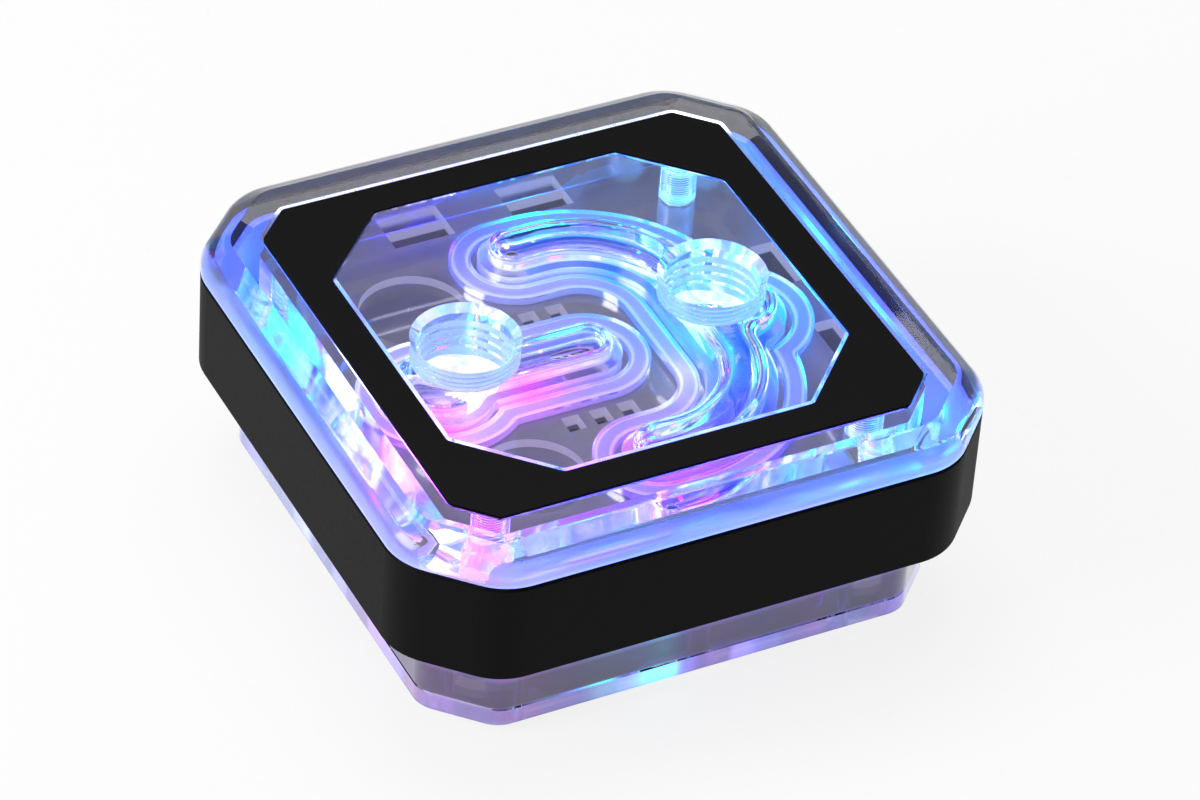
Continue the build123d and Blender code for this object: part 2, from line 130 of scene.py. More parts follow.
# Their colours on the -Y side and, turned a quarter each, on the +X, +Y and -X sides
SIDE_GLOWS = (
    ((0.16, 0.34, 1.0), (0.70, 0.26, 1.0), (0.06, 0.50, 1.0), (0.60, 1.6, 2.0)),
    ((0.06, 0.18, 1.0), (0.10, 0.36, 1.0), (0.06, 0.50, 0.85), (0.20, 0.30, 1.0)),
    ((0.05, 0.40, 1.0), (0.32, 0.14, 1.0), (0.12, 0.46, 1.0), (0.30, 0.25, 1.0)),
    ((0.30, 0.36, 0.42), (0.34, 0.14, 0.50), (0.70, 0.20, 0.68), (0.70, 0.60, 1.0)),
)

# Pools of painted light inside the block: place in mm, reach in mm and colour
INNER_GLOWS = (
    ((-16.2, 0, 23), 4.5, (0.45, 0.62, 0.36)),
    ((16.2, 0, 23), 4.5, (0.22, 0.75, 0.85)),
    ((-9.5, -3.2, 17.5), 2.4, (1.3, 0.05, 0.7)),
    ((-22, -6, 16), 3.2, (0.8, 0.1, 0.72)),
    ((20, -7, 18), 4.0, (0.16, 0.0, 1.2)),
    ((-2, 19, 20), 3.0, (0.8, 0.6, 0.3)),
    ((6, 17.5, 18), 2.2, (0.5, 0.42, 0.12)),
    ((8, -8, 18), 2.5, (0.6, 0.5, 0.2)),
    ((-1, -20, 18), 4.0, (0.55, 0.2, 0.7)),
    ((-16.2, 0, 14.5), 3.0, (0.5, 0.6, 0.45)),
    ((16.2, 0, 14.5), 3.0, (0.2, 0.8, 0.9)),
    ((-5.2, -33.5, 10), 1.1, (0.0, 0.5, 1.0)),
    ((-5.2, -33.5, 6.5), 1.1, (0.0, 0.4, 1.0)),
)

# Direction of the front, on the whole and for the cover's sides, and the span along it where the painted glow
# rises, painted shade at the back and painted light in front
FRONT = (-0.6, -0.8, 0)
SIDES_FRONT = (0.2, -1, 0)
FRONT_SPAN = (-12 * MM, 18 * MM)

# Painted glow of the gaskets by how far their surface faces upwards: a painted highlight along their rounded
# edges, painted shade down their sides
GASKET_LEVELS = ((0.0, 0.1), (0.45, 0.25), (0.75, 1.5), (0.9, 1.3), (0.97, 0.5), (1.0, 0.45))

# Painted glow on the base's side, the flange's shoulder and the retaining plate's side by height in mm
BASE_LEVELS = ((3.9, 0.3), (4.2, 0.06), (7.6, 0.1), (8.4, 0.5), (12.8, 0.4))
SHOULDER_LEVELS = ((26.3, 1.2), (26.7, 0.8), (27.2, 0.15), (31.0, 0.12))
RETAINER_LEVELS = ((1.4, 0.6), (1.8, 0.9), (3.4, 0.9), (3.8, 1.2))

# Heights over which a pocket's wall turns from painted shade to its painted lit edge
POCKET_EDGE = (12.4 * MM, 12.6 * MM)

# Reaches at which the flange's underside comes over the ring and near its own edge
OVER_RING = (35.2 * MM, 35.8 * MM)
NEAR_RIM = (36.6 * MM, 37.6 * MM)

# Painted glints and patches of painted light, at random: cells per metre, and the shares of a cell or of all
# cells over which they fade in
GLINT_CELLS = 620.0
GLINT_SIZE = (0.12, 0.26)
GLINT_CHANCE = (0.5, 0.8)
SIDE_CELLS = 150.0
SIDE_CHANCE = (0.58, 0.66)
BASE_CELLS = 170.0
BASE_CELL_STRETCH = (1, 1, 0.1)
BASE_CHANCE = (0.3, 0.8)
BASE_HUES = (0.44, 0.56)

# Noise in the finishes, per metre: slow waves in a polish, marks of a cutter, and grain of matt faces, metal,
# soft seals and plastic
POLISH_WAVES = 60.0
CUTTER_MARKS = 900.0
FINE_GRAIN = 1500.0
METAL_GRAIN = 700.0
SOFT_GRAIN = 800.0
PLASTIC_GRAIN = 400.0
NOISE_DETAIL = 3.0
ROUGHNESS_SPREAD = 0.3

# Clear acrylic: how it bends light, and its tint where polished and where milled
ACRYLIC_IOR = 1.49
POLISHED_TINT = (0.97, 0.975, 1.0)
MILLED_TINT = (0.95, 0.96, 1.0)

# Even tints in the painted glow, and the painted grey shade at the back of the flange's shoulder
BLACK = (0, 0, 0)
LAVENDER_BLUE = (0.20, 0.42, 1.0)
SKY_BLUE = (0.24, 0.43, 0.95)
LINE_BLUE = (0.05, 0.5, 1.0)
ICE_BLUE = (0.75, 0.85, 1.0)
PORT_TEAL = (0.22, 0.5, 0.5)
PORT_PALE = (0.8, 0.9, 0.72)
GASKET_BLUE = (0.55, 0.55, 0.85)
LILAC_GREY = (0.84, 0.80, 0.95)
LILAC = (0.42, 0.38, 0.85)
BACK_SHADE_GREY = (0.55, 0.5, 0.57)

# Corner cuts of the ring and of the pieces inside it, as additions to the mean of a place's two distances
RING_CUT = 3.0 * MM
INNER_CUT = 2.55 * MM

# Heights between which the channels' floors are told apart from the base's top, a film's depth below it
CHANNEL_FLOOR = (13.92 * MM, 14.5 * MM)

# A hair of air between clear faces and what they touch, and the height where the cover's screws seat
HAIR = 0.03 * MM
SCREW_SEAT = 8.3 * MM

# Broken upper edge of the retaining plate: its width, and the reach beyond which the plate's flat sides lie
BROKEN_EDGE = 0.2 * MM
FLAT_SIDES = 32.5 * MM

# Reach in mm beyond which the upright faces of the base and the retaining plate are their outer sides
BASE_OUTSIDE = 32.05

# Points and heights closer than this are the same, the last one with room for a hair of air
SAME_POINT = 1e-7
SAME_HEIGHT = 1e-6
NEAR_HEIGHT = 0.05 * MM

# Angles between faces: of an outline's edge, of a crease in the shading, and of facets that are one flat face
OUTLINE_ANGLE = math.radians(45)
CREASE_ANGLE = math.radians(25)
FLAT_ANGLE = math.radians(0.5)

# Smallest cosine that a mitre is worked out with, so that sharp corners stay near their outline
MITRE_LIMIT = 0.3

# Ranges of a face's tilt, the upward part of its normal
UPRIGHT = (-0.1, 0.1)
FACING_UP = (0.9, math.inf)
FACING_DOWN = (-math.inf, -0.9)


# Nodes

def fill(tree, node, inputs):
    """Fills a node's inputs, by name or index, with links or plain values."""
    for key, value in inputs.items():
        if isinstance(value, bpy.types.NodeSocket):
            tree.links.new(value, node.inputs[key])
        else:
            node.inputs[key].default_value = value


def add_node(tree, kind, inputs=None, **settings):
    """Adds a node, sets its properties and fills its inputs."""
    node = tree.nodes.new(kind)
    for key, value in settings.items():
        setattr(node, key, value)
    fill(tree, node, inputs or {})
    return node


def maths(tree, operation, *values):
    """Result of a maths node on links or plain numbers."""
    return add_node(tree, "ShaderNodeMath", dict(enumerate(values)), operation=operation).outputs["Value"]


def scaled(tree, colour, level):
    """A colour times a value."""
    inputs = {0: colour, "Scale": level}
    return add_node(tree, "ShaderNodeVectorMath", inputs, operation="SCALE").outputs["Vector"]


def object_place(tree):
    """Places in the object's own coordinates."""
    return add_node(tree, "ShaderNodeTexCoord").outputs["Object"]


def upward(tree, vector):
    """The upward part of a vector."""
    return add_node(tree, "ShaderNodeSeparateXYZ", {"Vector": vector}).outputs["Z"]


def object_noise(tree, scale, stretch=(1, 1, 1)):
    """Noise over the object's own coordinates, with stretch for brushed or milled marks."""
    mapping = add_node(tree, "ShaderNodeMapping", {"Vector": object_place(tree), "Scale": stretch})
    inputs = {"Vector": mapping.outputs["Vector"], "Scale": scale, "Detail": NOISE_DETAIL}
    return add_node(tree, "ShaderNodeTexNoise", inputs).outputs["Fac"]


def cell_pattern(tree, place, inputs, **settings):
    """Distance from the middle of each cell of a pattern, and the cell's own random values by channel."""
    cells = add_node(tree, "ShaderNodeTexVoronoi", {"Vector": place, **inputs}, **settings)
    chance = add_node(tree, "ShaderNodeSeparateColor", {"Color": cells.outputs["Color"]})
    return cells.outputs["Distance"], chance.outputs


def ranged(tree, socket, low, high):
    """A value from 0 to 1 taken to a range."""
    inputs = {"Value": socket, "To Min": low, "To Max": high}
    return add_node(tree, "ShaderNodeMapRange", inputs).outputs["Result"]


def spread(tree, socket, middle):
    """A value from 0 to 1 taken to a spread about a middle."""
    return ranged(tree, socket, middle * (1 - ROUGHNESS_SPREAD), middle * (1 + ROUGHNESS_SPREAD))


def stepped(tree, socket, span, levels):
    """A smooth step over a span of a value, from one level to another."""
    inputs = {"Value": socket}
    inputs.update(zip(("From Min", "From Max", "To Min", "To Max"), (*span, *levels)))
    return add_node(tree, "ShaderNodeMapRange", inputs, interpolation_type="SMOOTHSTEP").outputs["Result"]


def colour_ramp(tree, socket, stops):
    """A colour that follows a list of places from 0 to 1 and the colours there."""
    ramp = add_node(tree, "ShaderNodeValToRGB", {"Fac": socket})
    elements = ramp.color_ramp.elements
    while len(elements) < len(stops):
        elements.new(0.5)
    for element, (place, colour) in zip(elements, stops):
        element.position = place
        element.color = (*colour, 1)
    return ramp.outputs["Color"]


def tinted(tree, socket, dark, light):
    """A colour between two by a value from 0 to 1."""
    return colour_ramp(tree, socket, ((0, dark), (1, light)))


def levelled(tree, socket, levels):
    """A level that follows a list of places on a value's range and the levels there."""
    low, high = levels[0][0], levels[-1][0]
    span = add_node(tree, "ShaderNodeMapRange", {"Value": socket, "From Min": low, "From Max": high})
    stops = [((place - low) / (high - low), (level, level, level)) for place, level in levels]
    return colour_ramp(tree, span.outputs["Result"], stops)


def by_height(tree, levels):
    """A level that follows a list of heights in mm and the levels there."""
    return levelled(tree, upward(tree, object_place(tree)), [(z * MM, level) for z, level in levels])


def facing_front(tree, levels, front=FRONT):
    """A level of painted light that rises from the shaded back of the block to its front."""
    inputs = {0: object_place(tree), 1: front}
    along = add_node(tree, "ShaderNodeVectorMath", inputs, operation="DOT_PRODUCT")
    return stepped(tree, along.outputs["Value"], FRONT_SPAN, levels)


def outward(tree):
    """How far out a place is, measured to the ring's cut square."""
    flat = add_node(tree, "ShaderNodeVectorMath", {0: object_place(tree)}, operation="ABSOLUTE")
    axes = add_node(tree, "ShaderNodeSeparateXYZ", {"Vector": flat.outputs["Vector"]}).outputs
    square = maths(tree, "MAXIMUM", axes["X"], axes["Y"])
    corner = maths(tree, "MULTIPLY_ADD", maths(tree, "ADD", axes["X"], axes["Y"]), 0.5, RING_CUT)
    return maths(tree, "MAXIMUM", square, corner)


def bumped(tree, socket, strength, distance):
    """Normals with a fine relief from a value."""
    inputs = {"Strength": strength, "Distance": distance, "Height": socket}
    return add_node(tree, "ShaderNodeBump", inputs).outputs["Normal"]


# Glow of the lights

def glow_lobe(group, place, spot, reach, colour):
    """Colour of one light's painted glow, full at its spot and half as bright at its reach."""
    away = add_node(group, "ShaderNodeVectorMath", {0: place, 1: spot}, operation="DISTANCE")
    share = maths(group, "DIVIDE", away.outputs["Value"], reach)
    fall = maths(group, "MULTIPLY_ADD", share, share, 1.0)
    return scaled(group, colour, maths(group, "DIVIDE", 1.0, fall))


def lights_group():
    """Node group that gives the colour of all the lights' painted glow at a place in the block."""
    group = bpy.data.node_groups.new("emitter_glow", "ShaderNodeTree")
    group.interface.new_socket("Color", in_out="OUTPUT", socket_type="NodeSocketColor")
    place = object_place(group)
    lobes = []
    for side, colours in enumerate(SIDE_GLOWS):
        turn = Euler((0, 0, math.radians(90 * side)))
        for (spot, reach), colour in zip(SIDE_SPOTS, colours):
            turned = Vector(spot)
            turned.rotate(turn)
            lobes.append(glow_lobe(group, place, turned, reach, colour))
    for spot, reach, colour in INNER_GLOWS:
        lobes.append(glow_lobe(group, place, Vector(spot) * MM, reach * MM, colour))
    total = lobes[0]
    for lobe in lobes[1:]:
        added = add_node(group, "ShaderNodeVectorMath", {0: total, 1: lobe}, operation="ADD")
        total = added.outputs["Vector"]
    add_node(group, "NodeGroupOutput", {"Color": total})
    return group


EMITTER_GLOW = lights_group()


def glow_colour(tree, tint=BLACK, share=0.0, saturation=1.5):
    """Colour of the lights' painted glow at a place, with a share of an even tint in it."""
    glow = add_node(tree, "ShaderNodeGroup", node_tree=EMITTER_GLOW).outputs["Color"]
    vivid = add_node(tree, "ShaderNodeHueSaturation", {"Saturation": saturation, "Color": glow})
    inputs = {"Factor": share, "A": vivid.outputs["Color"], "B": (*tint, 1)}
    return add_node(tree, "ShaderNodeMix", inputs, data_type="RGBA", clamp_factor=True).outputs["Result"]


def deepened(tree, colour, contrast):
    """A colour with more contrast between its bright and dark places."""
    return add_node(tree, "ShaderNodeGamma", {"Color": colour, "Gamma": contrast}).outputs["Color"]


# Materials

def new_material(name, clear=0.0):
    """A material, its node tree and its one Principled shader, see-through by a share if it is acrylic."""
    material = bpy.data.materials.new(name)
    material.use_nodes = True
    tree = material.node_tree
    shader = tree.nodes["Principled BSDF"]
    if clear:
        fill(tree, shader, {"Transmission Weight": clear, "IOR": ACRYLIC_IOR})
    return material, tree, shader


def emit(tree, shader, colour, strength=1.0):
    """Lets a shader glow."""
    fill(tree, shader, {"Emission Color": colour, "Emission Strength": strength})


def coat(tree, shader):
    """Puts a polished skin over a shader."""
    fill(tree, shader, {"Coat Weight": 1.0, "Coat Roughness": 0.03})


def grain(tree, shader, noise, tones, roughness):
    """Gives a shader a colour and a roughness that follow a noise between two values."""
    inputs = {"Base Color": tinted(tree, noise, *tones), "Roughness": ranged(tree, noise, *roughness)}
    fill(tree, shader, inputs)


def polished_acrylic(name, tint):
    """Polished clear acrylic with the faintest waviness in its gloss, with its tree and shader."""
    material, tree, shader = new_material(name, clear=1.0)
    waves = object_noise(tree, POLISH_WAVES)
    fill(tree, shader, {"Base Color": (*tint, 1), "Roughness": ranged(tree, waves, 0.0, 0.03)})
    return material, tree, shader


def clear_acrylic(name, tint=POLISHED_TINT):
    """Polished clear acrylic."""
    return polished_acrylic(name, tint)[0]


def floor_acrylic(name, tint, glow, contrast):
    """Polished floor of a water channel, with painted glow where light is gathered above it."""
    material, tree, shader = polished_acrylic(name, tint)
    emit(tree, shader, deepened(tree, glow_colour(tree, saturation=1.2), contrast), glow)
    return material


def sparkling_acrylic(name, glow):
    """Polished round roof of a channel, with fine glints painted where it gathers the lights."""
    material, tree, shader = polished_acrylic(name, POLISHED_TINT)
    distance, chance = cell_pattern(tree, object_place(tree), {"Scale": GLINT_CELLS})
    dot = stepped(tree, distance, GLINT_SIZE, (1.0, 0.0))
    chosen = stepped(tree, chance["Red"], GLINT_CHANCE, (0.0, 1.0))
    dots = scaled(tree, glow_colour(tree, saturation=1.8), dot)
    emit(tree, shader, scaled(tree, dots, chosen), glow)
    return material


def milled_acrylic(name, roughness, glow, tint=BLACK, share=0.0):
    """Acrylic as the cutter leaves it: half matt, with the lights' glow painted on it as emission."""
    material, tree, shader = new_material(name, clear=1.0)
    marks = object_noise(tree, CUTTER_MARKS)
    fill(tree, shader, {
        "Base Color": (*MILLED_TINT, 1),
        "Roughness": spread(tree, marks, roughness),
        "Normal": bumped(tree, marks, strength=0.15, distance=0.05 * MM),
    })
    emit(tree, shader, glow_colour(tree, tint, share), glow)
    return material


def thread_frost(name, glow, tint, share):
    """Cut thread in the acrylic: frosted and pale, with the lights' glow painted on it."""
    material, tree, shader = new_material(name, clear=0.6)
    marks = object_noise(tree, CUTTER_MARKS)
    grain(tree, shader, marks, tones=((0.55, 0.72, 0.78), (0.65, 0.82, 0.88)), roughness=(0.2, 0.32))
    emit(tree, shader, glow_colour(tree, tint, share), glow)
    return material


def soft_gasket(name):
    """Soft translucent gasket with painted glow: a painted highlight along its rounded edges, calmer on its
    flat top, painted shade down its sides.
    """
    material, tree, shader = new_material(name)
    marks = object_noise(tree, CUTTER_MARKS)
    grain(tree, shader, marks, tones=((0.22, 0.2, 0.42), (0.26, 0.24, 0.48)), roughness=(0.3, 0.42))
    face = add_node(tree, "ShaderNodeNewGeometry")
    level = levelled(tree, upward(tree, face.outputs["Normal"]), GASKET_LEVELS)
    emit(tree, shader, scaled(tree, glow_colour(tree, GASKET_BLUE, 0.35), level))
    return material


def side_acrylic(name, glow):
    """Polished side of the cover's body: clear, with painted patches of the lights' colours on the front
    sides.
    """
    material, tree, shader = new_material(name, clear=1.0)
    waves = object_noise(tree, POLISH_WAVES)
    fill(tree, shader, {"Base Color": (*POLISHED_TINT, 1), "Roughness": ranged(tree, waves, 0.09, 0.15)})
    _, chance = cell_pattern(tree, object_place(tree), {"Scale": SIDE_CELLS})
    patches = scaled(tree, glow_colour(tree), stepped(tree, chance["Red"], SIDE_CHANCE, (0.0, 1.0)))
    emit(tree, shader, scaled(tree, patches, facing_front(tree, (0.2, 1.0), SIDES_FRONT)), glow)
    return material


def under_acrylic(name):
    """Underside of the flange: clear over the gap, with painted glow where it lies on the ring and most at
    its edge.
    """
    material, tree, shader = new_material(name, clear=1.0)
    out = outward(tree)
    roughness = stepped(tree, out, OVER_RING, (0.02, 0.4))
    fill(tree, shader, {"Base Color": (*MILLED_TINT, 1), "Roughness": roughness})
    on_ring = stepped(tree, out, OVER_RING, (0.0, 0.36))
    at_edge = stepped(tree, out, NEAR_RIM, (0.0, 0.5))
    colour = glow_colour(tree, LAVENDER_BLUE, 0.6)
    front = scaled(tree, colour, facing_front(tree, (0.12, 1.0)))
    emit(tree, shader, scaled(tree, front, maths(tree, "ADD", on_ring, at_edge)))
    return material


def shoulder_acrylic(name):
    """Rounded outer edge of the flange, with the lights' colour painted on in front and painted grey shade at
    the back.
    """
    material, tree, shader = new_material(name, clear=1.0)
    glow = glow_colour(tree, SKY_BLUE, 0.72)
    hue = add_node(tree, "ShaderNodeVectorMath", {0: glow}, operation="NORMALIZE").outputs["Vector"]
    # Painted base colour: grey shade at the back, the glow's hue in front
    inputs = {"Factor": facing_front(tree, (0.0, 1.0)), "A": (*BACK_SHADE_GREY, 1), "B": hue}
    tint = add_node(tree, "ShaderNodeMix", inputs, data_type="RGBA").outputs["Result"]
    waves = object_noise(tree, POLISH_WAVES)
    fill(tree, shader, {"Base Color": tint, "Roughness": ranged(tree, waves, 0.26, 0.36)})
    coat(tree, shader)
    front = scaled(tree, glow, facing_front(tree, (0.05, 1.0)))
    emit(tree, shader, scaled(tree, front, by_height(tree, SHOULDER_LEVELS)))
    return material


def frosted_base(name, tones, glow, share=0.7):
    """Base acrylic with a half-matt, slightly milky face, with the lights' glow painted on it."""
    material, tree, shader = new_material(name, clear=0.15)
    grain(tree, shader, object_noise(tree, FINE_GRAIN), tones, roughness=(0.14, 0.2))
    coat(tree, shader)
    emit(tree, shader, glow_colour(tree, LILAC_GREY, share), glow)
    return material


def lit_side(name, tones, clear, share, levels, patch, smooth):
    """Side of the base: dark and half matt, with painted glow along its edges and in upright patches of
    painted light.
    """
    material, tree, shader = new_material(name, clear)
    grain(tree, shader, object_noise(tree, FINE_GRAIN), tones, roughness=(0.08, 0.14))
    coat(tree, shader)
    mapping = add_node(tree, "ShaderNodeMapping", {"Vector": object_place(tree), "Scale": BASE_CELL_STRETCH})
    cells = {"Scale": BASE_CELLS, "Smoothness": smooth}
    _, chance = cell_pattern(tree, mapping.outputs["Vector"], cells, feature="SMOOTH_F1")
    inputs = {"Hue": ranged(tree, chance["Green"], *BASE_HUES), "Color": glow_colour(tree, LILAC, share)}
    colour = add_node(tree, "ShaderNodeHueSaturation", inputs).outputs["Color"]
    patches = scaled(tree, colour, stepped(tree, chance["Red"], BASE_CHANCE, (2 - patch, patch)))
    emit(tree, shader, scaled(tree, patches, by_height(tree, levels)))
    return material


def pocket_wall(name):
    """Wall of a pocket in the base: painted shade below, with a painted pale lit edge at its top."""
    material, tree, shader = new_material(name)
    noise = object_noise(tree, FINE_GRAIN)
    grain(tree, shader, noise, tones=((0.10, 0.09, 0.15), (0.13, 0.12, 0.18)), roughness=(0.2, 0.3))
    level = stepped(tree, upward(tree, object_place(tree)), POCKET_EDGE, (0.08, 0.5))
    emit(tree, shader, scaled(tree, glow_colour(tree, LILAC_GREY, 0.7), level))
    return material


def satin_black(name, tones, roughness, scale=FINE_GRAIN):
    """Black finish with a fine grain."""
    material, tree, shader = new_material(name)
    noise = object_noise(tree, scale)
    grain(tree, shader, noise, tones, roughness)
    relief = bumped(tree, noise, strength=0.08, distance=0.03 * MM)
    fill(tree, shader, {"Specular IOR Level": 0.07, "Normal": relief})
    return material


def metal(name, tones, roughness, stretch=(1, 1, 1)):
    """Metal with a directional finish."""
    material, tree, shader = new_material(name)
    noise = object_noise(tree, METAL_GRAIN, stretch)
    fill(tree, shader, {
        "Metallic": 1.0,
        "Base Color": tinted(tree, noise, *tones),
        "Roughness": spread(tree, noise, roughness),
        "Normal": bumped(tree, noise, strength=0.1, distance=0.03 * MM),
    })
    return material


def glowing(name, glow, tones, roughness, contrast=1.0):
    """Pale matt surface that glows in the lights' colours: the emitters' own light, or glow painted on the
    strip and header beside them, with a contrast above 1 for lights close by.
    """
    material, tree, shader = new_material(name)
    colour = tinted(tree, object_noise(tree, PLASTIC_GRAIN), *tones)
    fill(tree, shader, {"Base Color": colour, "Roughness": roughness})
    emit(tree, shader, deepened(tree, glow_colour(tree), contrast), glow)
    return material


def greys(dark, light):
    """Two neutral tones."""
    return (dark, dark, dark), (light, light, light)


BLACK_PAINT = ((0.002, 0.0018, 0.002), (0.004, 0.0035, 0.004))
# Dark tones of the base's pocket floors: painted shade in the recesses
POCKET_SHADE = ((0.02, 0.02, 0.04), (0.03, 0.03, 0.05))
NICKEL = ((0.55, 0.53, 0.5), (0.72, 0.7, 0.66))

acrylic = clear_acrylic("clear_acrylic_polished")
thread_acrylic = thread_frost("acrylic_thread", glow=0.5, tint=PORT_TEAL, share=0.6)
mouth_acrylic = milled_acrylic("acrylic_mouth", roughness=0.1, glow=0.3, tint=PORT_TEAL, share=0.6)
bore_acrylic = milled_acrylic("acrylic_bore", roughness=0.05, glow=0.6, tint=PORT_TEAL, share=0.6)
throat_acrylic = milled_acrylic("acrylic_throat", roughness=0.2, glow=0.9, tint=PORT_PALE, share=0.6)
roof_acrylic = sparkling_acrylic("acrylic_roof", glow=4.0)
# Painted bright lines along the edges around the frame's window
edge_acrylic = milled_acrylic("acrylic_edge", roughness=0.3, glow=0.6)
band_acrylic = milled_acrylic("acrylic_band", roughness=0.2, glow=0.3)
wall_acrylic = milled_acrylic("acrylic_wall", roughness=0.1, glow=0.7)
post_acrylic = milled_acrylic("acrylic_post", roughness=0.3, glow=0.9, tint=ICE_BLUE, share=0.12)
side_clear = side_acrylic("acrylic_side", glow=0.6)
under_clear = under_acrylic("acrylic_underside")
# Painted bright blue line along the flange's lower edge over the ring
rim_line = milled_acrylic("acrylic_rim_line", roughness=0.2, glow=1.3, tint=LINE_BLUE, share=0.8)
shoulder_clear = shoulder_acrylic("acrylic_shoulder")
base_acrylic = clear_acrylic("clear_acrylic_base", tint=(0.62, 0.58, 0.68))
channel_floor = floor_acrylic("channel_floor", tint=(0.42, 0.4, 0.46), glow=0.6, contrast=2.0)
base_side = lit_side(
    "base_side", tones=((0.085, 0.06, 0.14), (0.095, 0.07, 0.155)), clear=0.35, share=0.35,
    levels=BASE_LEVELS, patch=1.15, smooth=0.9,
)
retainer_side = lit_side(
    "retainer_side", tones=((0.2, 0.17, 0.3), (0.23, 0.2, 0.34)), clear=0.4, share=0.45,
    levels=RETAINER_LEVELS, patch=1.45, smooth=0.5,
)
base_top = frosted_base("base_top", tones=((0.21, 0.20, 0.23), (0.24, 0.23, 0.26)), glow=0.12, share=0.8)
# Floor of the shallow relief, a little darker than the top: painted shade in the recess, with painted glow
base_relief = frosted_base("base_relief", tones=((0.16, 0.15, 0.2), (0.18, 0.17, 0.22)), glow=0.1)
# Pocket floors: painted shade in the recesses, with a little painted glow
base_pocket = frosted_base("base_pocket", tones=POCKET_SHADE, glow=0.05, share=0.1)
base_wall = pocket_wall("base_pocket_wall")
frame_black = satin_black("frame_black", tones=BLACK_PAINT, roughness=(0.44, 0.56))
ring_black = satin_black("ring_black", tones=BLACK_PAINT, roughness=(0.49, 0.61))
seal_black = satin_black("seal_black", tones=greys(0.01, 0.02), roughness=(0.64, 0.76), scale=SOFT_GRAIN)
nickel = metal("nickel_plate", tones=NICKEL, roughness=0.28, stretch=(1, 12, 1))
steel = metal("screw_steel_bright", tones=greys(0.42, 0.6), roughness=0.3)
strip_white = glowing("strip_white", glow=1.5, tones=greys(0.5, 0.6), roughness=0.6, contrast=2.2)
emitter_white = glowing("emitter_white", glow=40.0, tones=greys(0.85, 0.95), roughness=0.3)
header_white = glowing("header_white", glow=0.1, tones=((0.7, 0.69, 0.66), (0.85, 0.84, 0.8)), roughness=0.5)
gasket_soft = soft_gasket("gasket_soft")


# Meshes

def bottom(node):
    """Height of a CAD node's lowest point."""
    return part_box(node)[0][2]


def top(node):
    """Height of a CAD node's highest point."""
    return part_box(node)[1][2]


def merged_copy(node):
    """A closed mesh of a CAD node, with the doubled corners of its facets joined."""
    mesh = bmesh.new()
    mesh.from_mesh(nodes[node].data)
    bmesh.ops.remove_doubles(mesh, verts=mesh.verts, dist=SAME_POINT)
    return mesh


def level_with(points, height, within=SAME_HEIGHT):
    """Whether all points are at a height."""
    return all(abs(point.co.z - height) < within for point in points)


def eased(mesh, contacts):
    """Moves the points on flat contacts, given as a height and up or down as 1 or -1, by a hair."""
    for point in mesh.verts:
        for height, direction in contacts:
            if level_with([point], height):
                point.co.z += direction * HAIR
    return mesh


def cut_square_reach(place):
    """How far out a place is, measured to a square or to its cut corners."""
    x, y = abs(place.x), abs(place.y)
    return max(x, y, (x + y) / 2 + INNER_CUT)


def new_object(name, mesh, materials):
    """An object from a bmesh, which is used up."""
    data = bpy.data.meshes.new(name)
    mesh.to_mesh(data)
    mesh.free()
    for material in materials:
        data.materials.append(material)
    made = bpy.data.objects.new(name, data)
    bpy.context.collection.objects.link(made)
    return made


def new_piece(name, mesh, materials, node):
    """A piece from a bmesh that stands for a CAD node, shaded smooth between its creases."""
    piece = new_object(name, mesh, materials)
    imported = piece.data.attributes.get("custom_normal")
    if imported:
        piece.data.attributes.remove(imported)
    piece.data.shade_smooth()
    piece.data.set_sharp_from_angle(angle=CREASE_ANGLE)
    even = piece.modifiers.new("even_shading", "WEIGHTED_NORMAL")
    even.keep_sharp = True
    even.weight = 100
    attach(piece, "root")
    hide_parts(node)


def ring_of(points):
    """The pairs of neighbours around a closed row of points."""
    return zip(points, points[1:] + points[:1])


def join_rows(mesh, rows):
    """Four-sided faces between closed rows of points, each with the next."""
    for lower, upper in zip(rows, rows[1:]):
        for (a, b), (d, c) in zip(ring_of(lower), ring_of(upper)):
            mesh.faces.new((a, b, c, d))


def thread_cutter(name, x, y, low, high, crest, root, pitch, segments):
    """Helical ridge that leaves an internal thread with flat crests and roots."""
    inner = crest - (root - crest) * THREAD_OVERLAP
    root_half = pitch * THREAD_ROOT_HALF
    crest_half = pitch * THREAD_CREST_HALF
    half = crest_half + (crest_half - root_half) * THREAD_OVERLAP
    corners = ((inner, -half), (root, -root_half), (root, root_half), (inner, half))
    mesh = bmesh.new()
    rows = []
    for step in range(math.ceil((high - low) / pitch * segments) + 1):
        angle = (step + THREAD_PHASE) / segments * math.tau
        z = low + step / segments * pitch
        turn = Vector((math.cos(angle), math.sin(angle), 0))
        rows.append([mesh.verts.new(turn * r + Vector((x, y, z + dz))) for r, dz in corners])
    join_rows(mesh, rows)
    mesh.faces.new(rows[0])
    mesh.faces.new(reversed(rows[-1]))
    bmesh.ops.recalc_face_normals(mesh, faces=mesh.faces)
    return new_object(name, mesh, [thread_acrylic])


def flat_outlines(mesh, height):
    """The closed outlines around the flat faces at a height, as points in plan with material on the left."""
    ahead = {}
    for edge in mesh.edges:
        if level_with(edge.verts, height) and edge.calc_face_angle() > OUTLINE_ANGLE:
            face = max(edge.link_faces, key=lambda side: side.normal.z)
            loop = next(loop for loop in face.loops if loop.edge == edge)
            ahead[loop.vert] = loop.link_loop_next.vert
    outlines = []
    while ahead:
        point = next(iter(ahead))
        outline = []
        while point in ahead:
            outline.append(point.co.to_2d())
            point = ahead.pop(point)
        outlines.append(outline)
    return outlines


def enclosed_area(outline):
    """Area inside an outline."""
    return abs(sum(a.x * b.y - b.x * a.y for a, b in ring_of(outline))) / 2


